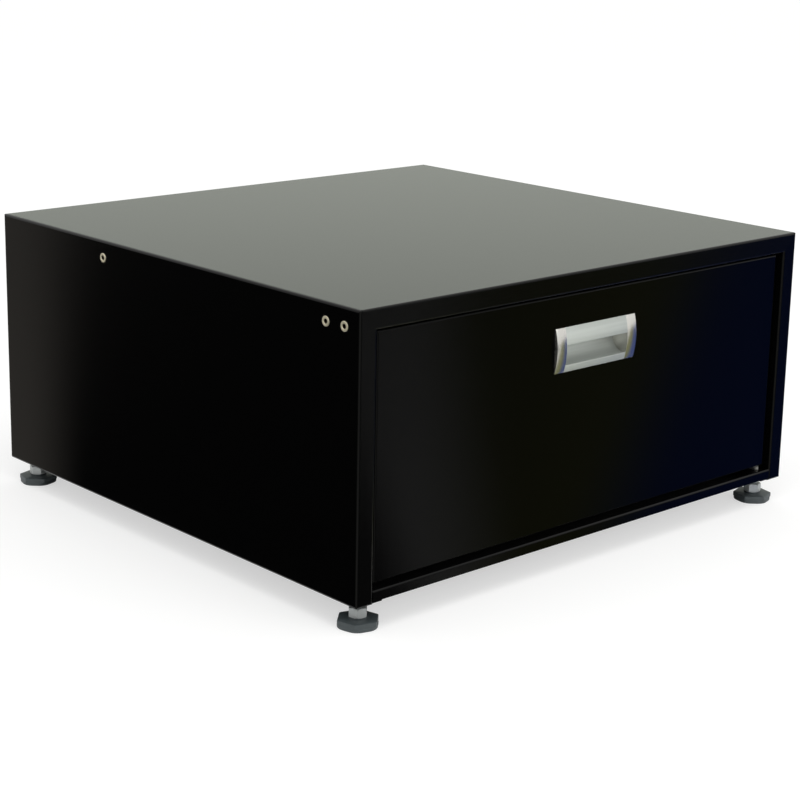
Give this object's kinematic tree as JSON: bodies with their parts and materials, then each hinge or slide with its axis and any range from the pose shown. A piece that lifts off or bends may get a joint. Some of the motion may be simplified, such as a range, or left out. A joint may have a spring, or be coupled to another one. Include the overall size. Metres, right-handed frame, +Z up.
{
  "type": "washer pedestal drawer",
  "caption": "Low black steel pedestal for a washer, with a full-width drawer on telescopic slides, a flush metal pull and screw-adjustable feet.",
  "frame": {"origin": "on the floor, in the middle of the pedestal's footprint", "axes": "+Z up, -Y towards the drawer's front, +X to the right when the front is behind the viewer's back"},
  "size_m": [0.6876, 0.655, 0.334],
  "materials": {
    "black_enamel": "semi-gloss",
    "drawer_enamel": "gloss",
    "black_screws": "black zinc",
    "yellow_zinc": "yellow-passivated zinc",
    "white_nylon": "moulded",
    "zinc_steel": "bright zinc",
    "satin_aluminium": "satin anodised",
    "bright_chrome": "polished plating",
    "grey_plastic": "moulded",
    "plated_stud": "bright zinc"
  },
  "bodies": {
    "cabinet": {"top_panel": "black_enamel", "side_panel_left": "black_enamel", "side_panel_right": "black_enamel", "back_panel": "black_enamel", "back_screws": "black_screws", "front_sill": "black_enamel", "rear_cross_rail": "black_enamel", "top_hat_front": "black_enamel", "top_hat_middle": "black_enamel", "top_hat_rear": "black_enamel", "foot_plate_front_left": "black_enamel", "foot_plate_front_right": "black_enamel", "foot_plate_rear_left": "black_enamel", "foot_plate_rear_right": "black_enamel", "slide_carrier_left": "black_enamel", "slide_carrier_right": "black_enamel", "rivet_nuts_left": "yellow_zinc", "rivet_nuts_right": "yellow_zinc", "sill_bumper": "white_nylon", "slide_outer_left": "zinc_steel", "slide_outer_right": "zinc_steel", "carrier_screws": "zinc_steel"},
    "drawer": {"slide_inner_left": "zinc_steel", "slide_inner_right": "zinc_steel", "runner_screws": "zinc_steel", "drawer_front": "drawer_enamel", "drawer_liner": "black_enamel", "drawer_side_left": "black_enamel", "drawer_side_right": "black_enamel", "drawer_back": "black_enamel", "drawer_bottom": "black_enamel", "drawer_screws": "black_screws", "pull_profile": "satin_aluminium", "pull_cap_left": "bright_chrome", "pull_cap_right": "bright_chrome", "pull_screws": "zinc_steel"},
    "middle_left": {"slide_middle_left": "zinc_steel"},
    "outer_balls_and_cage_left": {"outer_cage_left": "zinc_steel", "outer_balls_left": "zinc_steel"},
    "inner_balls_and_cage_left": {"inner_cage_left": "zinc_steel", "inner_balls_left": "zinc_steel"},
    "middle_right": {"slide_middle_right": "zinc_steel"},
    "outer_balls_and_cage_right": {"outer_cage_right": "zinc_steel", "outer_balls_right": "zinc_steel"},
    "inner_balls_and_cage_right": {"inner_cage_right": "zinc_steel", "inner_balls_right": "zinc_steel"},
    "pad_front_left": {"foot_pad_front_left": "grey_plastic"},
    "stud_front_left": {"foot_stud_front_left": "plated_stud"},
    "pad_front_right": {"foot_pad_front_right": "grey_plastic"},
    "stud_front_right": {"foot_stud_front_right": "plated_stud"},
    "pad_rear_left": {"foot_pad_rear_left": "grey_plastic"},
    "stud_rear_left": {"foot_stud_rear_left": "plated_stud"},
    "pad_rear_right": {"foot_pad_rear_right": "grey_plastic"},
    "stud_rear_right": {"foot_stud_rear_right": "plated_stud"}
  },
  "joints": [
    {"name": "drawer_slide", "type": "slide", "parent": "cabinet", "child": "drawer", "axis": [0, -1, 0], "range_m": [0, 0.52]},
    {"name": "middle_left_slide", "type": "slide", "parent": "cabinet", "child": "middle_left", "axis": [0, -1, 0], "range_m": [0, 0.26]},
    {"name": "outer_balls_and_cage_left_slide", "type": "slide", "parent": "cabinet", "child": "outer_balls_and_cage_left", "axis": [0, -1, 0], "range_m": [0, 0.13]},
    {"name": "inner_balls_and_cage_left_slide", "type": "slide", "parent": "cabinet", "child": "inner_balls_and_cage_left", "axis": [0, -1, 0], "range_m": [0, 0.39]},
    {"name": "middle_right_slide", "type": "slide", "parent": "cabinet", "child": "middle_right", "axis": [0, -1, 0], "range_m": [0, 0.26]},
    {"name": "outer_balls_and_cage_right_slide", "type": "slide", "parent": "cabinet", "child": "outer_balls_and_cage_right", "axis": [0, -1, 0], "range_m": [0, 0.13]},
    {"name": "inner_balls_and_cage_right_slide", "type": "slide", "parent": "cabinet", "child": "inner_balls_and_cage_right", "axis": [0, -1, 0], "range_m": [0, 0.39]},
    {"name": "foot_front_left_lift", "type": "slide", "parent": "cabinet", "child": "pad_front_left", "axis": [0, 0, -1], "range_m": [-0.003, 0.01]},
    {"name": "foot_front_left_spin", "type": "hinge", "parent": "pad_front_left", "child": "stud_front_left", "pos_m": [-0.3205, -0.3045, 0.02], "axis": [0, 0, -1], "range_deg": [-617.2, 2057.2]},
    {"name": "foot_front_right_lift", "type": "slide", "parent": "cabinet", "child": "pad_front_right", "axis": [0, 0, -1], "range_m": [-0.003, 0.01]},
    {"name": "foot_front_right_spin", "type": "hinge", "parent": "pad_front_right", "child": "stud_front_right", "pos_m": [0.3205, -0.3045, 0.02], "axis": [0, 0, -1], "range_deg": [-617.2, 2057.2]},
    {"name": "foot_rear_left_lift", "type": "slide", "parent": "cabinet", "child": "pad_rear_left", "axis": [0, 0, -1], "range_m": [-0.003, 0.01]},
    {"name": "foot_rear_left_spin", "type": "hinge", "parent": "pad_rear_left", "child": "stud_rear_left", "pos_m": [-0.3205, 0.2995, 0.02], "axis": [0, 0, -1], "range_deg": [-617.2, 2057.2]},
    {"name": "foot_rear_right_lift", "type": "slide", "parent": "cabinet", "child": "pad_rear_right", "axis": [0, 0, -1], "range_m": [-0.003, 0.01]},
    {"name": "foot_rear_right_spin", "type": "hinge", "parent": "pad_rear_right", "child": "stud_rear_right", "pos_m": [0.3205, 0.2995, 0.02], "axis": [0, 0, -1], "range_deg": [-617.2, 2057.2]}
  ],
  "couplings": [
    {"joint": "middle_left_slide", "follows": "drawer_slide", "ratio": 0.5},
    {"joint": "outer_balls_and_cage_left_slide", "follows": "drawer_slide", "ratio": 0.25},
    {"joint": "inner_balls_and_cage_left_slide", "follows": "drawer_slide", "ratio": 0.75},
    {"joint": "middle_right_slide", "follows": "drawer_slide", "ratio": 0.5},
    {"joint": "outer_balls_and_cage_right_slide", "follows": "drawer_slide", "ratio": 0.25},
    {"joint": "inner_balls_and_cage_right_slide", "follows": "drawer_slide", "ratio": 0.75},
    {"joint": "foot_front_left_spin", "follows": "foot_front_left_lift", "rad_per_m": 3590.4},
    {"joint": "foot_front_right_spin", "follows": "foot_front_right_lift", "rad_per_m": 3590.4},
    {"joint": "foot_rear_left_spin", "follows": "foot_rear_left_lift", "rad_per_m": 3590.4},
    {"joint": "foot_rear_right_spin", "follows": "foot_rear_right_lift", "rad_per_m": 3590.4}
  ]
}
